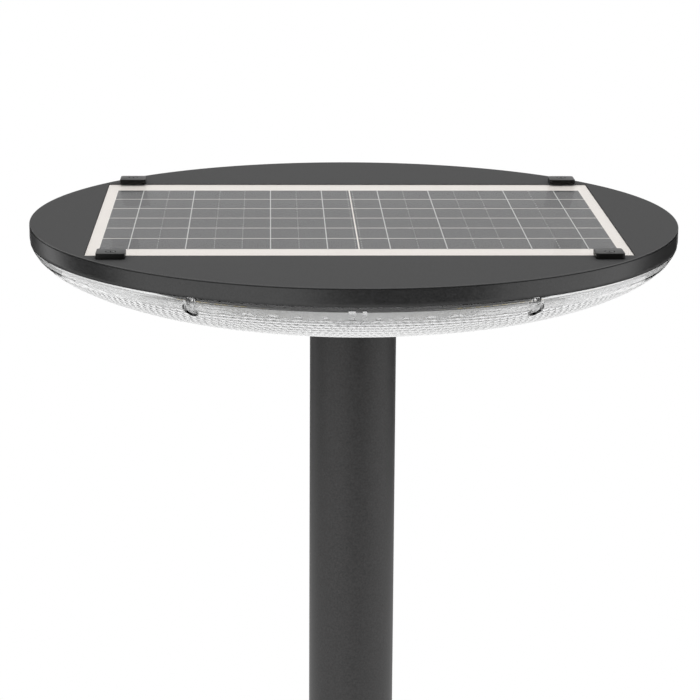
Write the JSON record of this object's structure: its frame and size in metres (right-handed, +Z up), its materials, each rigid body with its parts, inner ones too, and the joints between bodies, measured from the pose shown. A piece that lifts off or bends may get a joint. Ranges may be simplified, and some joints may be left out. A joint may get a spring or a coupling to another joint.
{
  "type": "solar street lamp",
  "caption": "Round solar street lamp head with a flat solar panel let into its top and a clear prismatic lens below, on the top section of a tubular pole.",
  "frame": {"origin": "on the pole's axis, at the lower end face of the pole section, where the next section joins", "axes": "+Z up along the pole; X along the solar panel's long side; the lamp's front faces -Y"},
  "size_m": [0.59, 0.59, 0.7063],
  "materials": {
    "housing_paint": "fine-textured dark grey powder coat on die-cast aluminium",
    "pole_paint": "fine-textured dark grey powder coat on steel tube",
    "panel_glass": "thin flat clear front sheet, glossy",
    "solar_cell": "dark silicon under glass",
    "backsheet": "warm white laminate",
    "clip_plastic": "glossy black moulded plastic",
    "screw_steel": "blackened stainless steel",
    "clear_lens": "clear moulded polycarbonate with prismatic scales",
    "gasket_rubber": "soft black rubber",
    "reflector_white": "white-painted sheet aluminium",
    "board_white": "white solder mask",
    "cover_plastic": "fine-textured dark grey plastic",
    "cell_wrap": null,
    "tray_plastic": "moulded black plastic",
    "case_plastic": "moulded black plastic",
    "coupler_steel": "galvanised steel",
    "button_rubber": "red rubber cap",
    "lead_jacket": "black cable jacket"
  },
  "bodies": {
    "pole": {"pole_tube": "pole_paint", "pole_coupler": "coupler_steel", "coupler_screw_1": "screw_steel", "coupler_screw_2": "screw_steel"},
    "head": {"top_housing": "housing_paint", "pole_socket": "housing_paint", "panel_glass": "panel_glass", "solar_cells": "solar_cell", "panel_backsheet": "backsheet", "panel_clip_1": "clip_plastic", "panel_clip_2": "clip_plastic", "panel_clip_3": "clip_plastic", "panel_clip_4": "clip_plastic", "clip_screw_1": "screw_steel", "clip_screw_2": "screw_steel", "clip_screw_3": "screw_steel", "clip_screw_4": "screw_steel", "lens_screw_1": "screw_steel", "lens_screw_2": "screw_steel", "lens_screw_3": "screw_steel", "lens_screw_4": "screw_steel", "lens_screw_5": "screw_steel", "lens_screw_6": "screw_steel", "cover_screw_1": "screw_steel", "cover_screw_2": "screw_steel", "cover_screw_3": "screw_steel", "cover_screw_4": "screw_steel", "socket_screw_1": "screw_steel", "socket_screw_2": "screw_steel", "socket_screw_3": "screw_steel", "set_screw_1": "screw_steel", "set_screw_2": "screw_steel", "set_screw_3": "screw_steel", "lens": "clear_lens", "lens_gasket": "gasket_rubber", "led_tray": "reflector_white", "led_board_1": "board_white", "led_board_2": "board_white", "led_board_3": "board_white", "led_board_4": "board_white", "led_board_5": "board_white", "led_board_6": "board_white", "bottom_cover": "cover_plastic", "battery_cell_1": "cell_wrap", "battery_cell_2": "cell_wrap", "battery_cell_3": "cell_wrap", "battery_cell_4": "cell_wrap", "battery_cell_5": "cell_wrap", "battery_cell_6": "cell_wrap", "battery_tray_1": "tray_plastic", "battery_tray_2": "tray_plastic", "junction_box": "case_plastic", "charge_controller": "case_plastic", "switch_body": "case_plastic", "button_bezel": "case_plastic", "panel_lead": "lead_jacket", "battery_lead_1": "lead_jacket", "battery_lead_2": "lead_jacket", "led_lead": "lead_jacket"},
    "button": {"power_button": "button_rubber"}
  },
  "joints": [
    {"name": "head_swivel", "type": "hinge", "parent": "pole", "child": "head", "pos_m": [0, 0, 0.6], "axis": [0, 0, 1], "continuous": true},
    {"name": "button_press", "type": "slide", "parent": "head", "child": "button", "axis": [0, 0, 1], "range_m": [0, 0.0025], "stiffness_N_per_m": 400}
  ]
}
